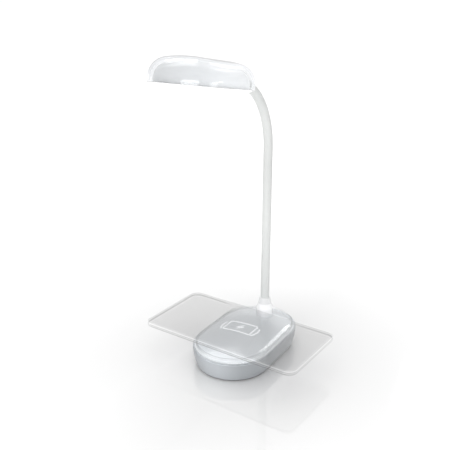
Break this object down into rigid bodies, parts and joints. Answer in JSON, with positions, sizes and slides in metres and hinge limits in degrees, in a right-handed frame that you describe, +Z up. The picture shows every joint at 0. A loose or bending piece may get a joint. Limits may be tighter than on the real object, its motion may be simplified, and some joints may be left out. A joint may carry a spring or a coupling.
{
  "type": "gooseneck desk lamp with charging base",
  "caption": "Gooseneck desk lamp with a tilted oval lit head, an oval charging base under a clear domed cover and a loose clear plate lying across it.",
  "frame": {"origin": "middle of the base's underside, on the table", "axes": "+Z up along the straight arm; +Y towards the back of the base, where the arm stands; the head reaches forward along -Y; +X to the right seen from the front"},
  "size_m": [0.163, 0.1759, 0.2835],
  "materials": {
    "grip_rubber": "matt",
    "base_plastic": "smooth gloss",
    "plated_steel": "plated, satin",
    "board_green": "solder mask",
    "chip_black": "matt",
    "inner_white": "satin",
    "ferrite_grey": "matt",
    "coil_copper": "enamelled wire",
    "contact_brass": "satin",
    "pad_plastic": "high gloss",
    "symbol_ink": "printed ink",
    "clear_acrylic": "clear, polished",
    "gloss_white": "high gloss",
    "sleeve_silicone": "matt, slightly milky",
    "lead_jacket": "satin",
    "head_plastic": "high gloss",
    "rim_plastic": "gloss",
    "led_aluminium": "white coated",
    "led_phosphor": "phosphor gel",
    "diffuser": "milky diffuser"
  },
  "bodies": {
    "base": {"grip_mat": "grip_rubber", "base_tray": "base_plastic", "ballast_plate": "plated_steel", "base_screws": "plated_steel", "main_board": "board_green", "board_parts": "chip_black", "board_screws": "plated_steel", "supply_socket": "plated_steel", "coil_bracket": "inner_white", "ferrite_sheet": "ferrite_grey", "charging_coil": "coil_copper", "touch_sensor": "contact_brass", "pad_shell": "pad_plastic", "pad_symbol": "symbol_ink", "clear_cover": "clear_acrylic", "neck_collar": "gloss_white", "neck_ring": "gloss_white", "neck_washer": "plated_steel", "neck_nut": "plated_steel", "gooseneck_foot": "plated_steel", "arm_sleeve": "sleeve_silicone", "lamp_lead": "lead_jacket"},
    "link_1": {"link_1": "plated_steel"},
    "link_2": {"link_2": "plated_steel"},
    "link_3": {"link_3": "plated_steel"},
    "link_4": {"link_4": "plated_steel"},
    "link_5": {"link_5": "plated_steel"},
    "link_6": {"link_6": "plated_steel"},
    "link_7": {"link_7": "plated_steel"},
    "link_8": {"link_8": "plated_steel"},
    "link_9": {"link_9": "plated_steel"},
    "link_10": {"link_10": "plated_steel"},
    "link_11": {"link_11": "plated_steel"},
    "head": {"arm_end_plug": "plated_steel", "head_nut": "plated_steel", "head_body": "head_plastic", "head_shell": "clear_acrylic", "head_rim": "rim_plastic", "led_board": "led_aluminium", "leds": "led_phosphor", "led_screws": "plated_steel", "reflector": "inner_white", "light_panel": "diffuser"},
    "plate": {"clear_plate": "clear_acrylic"}
  },
  "joints": [
    {"name": "lower_bend_1", "type": "hinge", "parent": "base", "child": "link_1", "pos_m": [0, 0.0371, 0.06], "axis": [1, 0, 0], "range_deg": [-6, 7], "deforming": ["arm_sleeve", "lamp_lead"]},
    {"name": "side_lean_1", "type": "hinge", "parent": "link_1", "child": "link_2", "pos_m": [0, 0.0371, 0.076], "axis": [0, 1, 0], "range_deg": [-10, 10]},
    {"name": "lower_bend_2", "type": "hinge", "parent": "link_2", "child": "link_3", "pos_m": [0, 0.0371, 0.092], "axis": [1, 0, 0], "range_deg": [-6, 7]},
    {"name": "side_lean_2", "type": "hinge", "parent": "link_3", "child": "link_4", "pos_m": [0, 0.0371, 0.108], "axis": [0, 1, 0], "range_deg": [-10, 10]},
    {"name": "lower_bend_3", "type": "hinge", "parent": "link_4", "child": "link_5", "pos_m": [0, 0.0371, 0.124], "axis": [1, 0, 0], "range_deg": [-6, 7]},
    {"name": "side_lean_3", "type": "hinge", "parent": "link_5", "child": "link_6", "pos_m": [0, 0.0371, 0.14], "axis": [0, 1, 0], "range_deg": [-10, 10]},
    {"name": "lower_bend_4", "type": "hinge", "parent": "link_6", "child": "link_7", "pos_m": [0, 0.0371, 0.156], "axis": [1, 0, 0], "range_deg": [-6, 7]},
    {"name": "upper_bend_1", "type": "hinge", "parent": "link_7", "child": "link_8", "pos_m": [0, 0.0371, 0.172], "axis": [1, 0, 0], "range_deg": [-12, 8]},
    {"name": "upper_bend_2", "type": "hinge", "parent": "link_8", "child": "link_9", "pos_m": [0, 0.03693, 0.19474], "axis": [1, 0, 0], "range_deg": [-12, 8]},
    {"name": "upper_bend_3", "type": "hinge", "parent": "link_9", "child": "link_10", "pos_m": [0, 0.03215, 0.21547], "axis": [1, 0, 0], "range_deg": [-12, 8]},
    {"name": "upper_bend_4", "type": "hinge", "parent": "link_10", "child": "link_11", "pos_m": [0, 0.02119, 0.23371], "axis": [1, 0, 0], "range_deg": [-12, 8]},
    {"name": "upper_bend_5", "type": "hinge", "parent": "link_11", "child": "head", "pos_m": [0, 0.00513, 0.24767], "axis": [1, 0, 0], "range_deg": [-12, 8]},
    {"name": "plate_off", "type": "slide", "parent": "base", "child": "plate", "axis": [0, -0.9659, 0.2588], "range_m": [0, 0.12]}
  ],
  "couplings": [
    {"joint": "lower_bend_2", "follows": "lower_bend_1", "ratio": 1},
    {"joint": "lower_bend_3", "follows": "lower_bend_1", "ratio": 1},
    {"joint": "lower_bend_4", "follows": "lower_bend_1", "ratio": 1},
    {"joint": "side_lean_2", "follows": "side_lean_1", "ratio": 1},
    {"joint": "side_lean_3", "follows": "side_lean_1", "ratio": 1},
    {"joint": "upper_bend_2", "follows": "upper_bend_1", "ratio": 1},
    {"joint": "upper_bend_3", "follows": "upper_bend_1", "ratio": 1},
    {"joint": "upper_bend_4", "follows": "upper_bend_1", "ratio": 1},
    {"joint": "upper_bend_5", "follows": "upper_bend_1", "ratio": 1}
  ]
}
